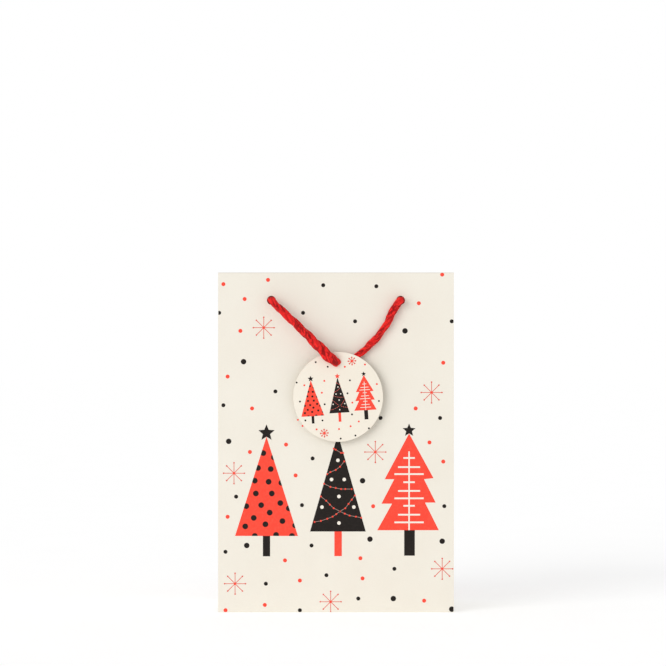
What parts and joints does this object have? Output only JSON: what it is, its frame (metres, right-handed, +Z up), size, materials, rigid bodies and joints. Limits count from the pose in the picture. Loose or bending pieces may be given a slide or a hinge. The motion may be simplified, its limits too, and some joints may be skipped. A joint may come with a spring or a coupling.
{
  "type": "gift bag",
  "caption": "Small paper gift bag standing open, with pleated side gussets, a folding block bottom, corded handles and a round hanging tag.",
  "frame": {"origin": "middle of the bag's underside, on the surface that it stands on", "axes": "+X to the right of someone facing the front, +Y from the front panel to the back panel, +Z up"},
  "size_m": [0.111, 0.074, 0.16],
  "materials": {
    "printed_paper": "smooth uncoated art paper, printed outside",
    "stiff_card": "plain grey-brown board",
    "tag_card": "smooth printed card",
    "red_rope": "twisted cotton rope"
  },
  "bodies": {
    "front": {"front_panel": "printed_paper", "front_top_card": "stiff_card", "front_hem": "printed_paper", "front_left_knot": "red_rope", "front_right_knot": "red_rope"},
    "left_gusset_front": {"left_gusset_front_panel": "printed_paper", "left_gusset_front_hem": "printed_paper"},
    "left_gusset_back": {"left_gusset_back_panel": "printed_paper", "left_gusset_back_hem": "printed_paper", "side_glue_flap": "printed_paper"},
    "back": {"back_panel": "printed_paper", "back_top_card": "stiff_card", "back_hem": "printed_paper", "back_left_knot": "red_rope", "back_right_knot": "red_rope"},
    "right_gusset_front": {"right_gusset_front_panel": "printed_paper", "right_gusset_front_hem": "printed_paper"},
    "right_gusset_back": {"right_gusset_back_panel": "printed_paper", "right_gusset_back_hem": "printed_paper"},
    "base": {"base_outer_flap": "printed_paper", "base_inner_flap": "printed_paper", "base_left_flap": "printed_paper", "base_right_flap": "printed_paper", "base_card": "stiff_card"},
    "front_handle": {"front_handle_cord": "red_rope"},
    "tag": {"tag": "tag_card"},
    "back_handle": {"back_handle_cord": "red_rope"}
  },
  "joints": [
    {"name": "side_fold", "type": "hinge", "parent": "front", "child": "left_gusset_front", "pos_m": [-0.0552, -0.0295, 0.08], "axis": [0, 0, -1], "range_deg": [0, 74]},
    {"name": "left_centre_crease", "type": "hinge", "parent": "left_gusset_front", "child": "left_gusset_back", "pos_m": [-0.0555, 0, 0.08], "axis": [0, 0, 1], "range_deg": [0, 148]},
    {"name": "left_back_crease", "type": "hinge", "parent": "left_gusset_back", "child": "back", "pos_m": [-0.0552, 0.0295, 0.08], "axis": [0, 0, -1], "range_deg": [0, 74]},
    {"name": "right_front_crease", "type": "hinge", "parent": "front", "child": "right_gusset_front", "pos_m": [0.0552, -0.0295, 0.08], "axis": [0, 0, 1], "range_deg": [0, 74]},
    {"name": "right_centre_crease", "type": "hinge", "parent": "right_gusset_front", "child": "right_gusset_back", "pos_m": [0.0555, 0, 0.08], "axis": [0, 0, -1], "range_deg": [0, 148]},
    {"name": "base_fold", "type": "hinge", "parent": "front", "child": "base", "pos_m": [0, -0.02, 0.01], "axis": [1, 0, 0], "range_deg": [0, 90]},
    {"name": "front_handle_swing", "type": "hinge", "parent": "front", "child": "front_handle", "pos_m": [0, -0.034, 0.1469], "axis": [-1, 0, 0], "range_deg": [0, 170]},
    {"name": "tag_turn", "type": "hinge", "parent": "front_handle", "child": "tag", "pos_m": [0, -0.034, 0.1179], "axis": [0, 1, 0], "range_deg": [-180, 180]},
    {"name": "back_handle_swing", "type": "hinge", "parent": "back", "child": "back_handle", "pos_m": [0, 0.034, 0.1469], "axis": [1, 0, 0], "range_deg": [0, 170]}
  ],
  "couplings": [
    {"joint": "left_centre_crease", "follows": "side_fold", "ratio": 2},
    {"joint": "left_back_crease", "follows": "side_fold", "ratio": 1},
    {"joint": "right_front_crease", "follows": "side_fold", "ratio": 1},
    {"joint": "right_centre_crease", "follows": "side_fold", "ratio": 2}
  ]
}
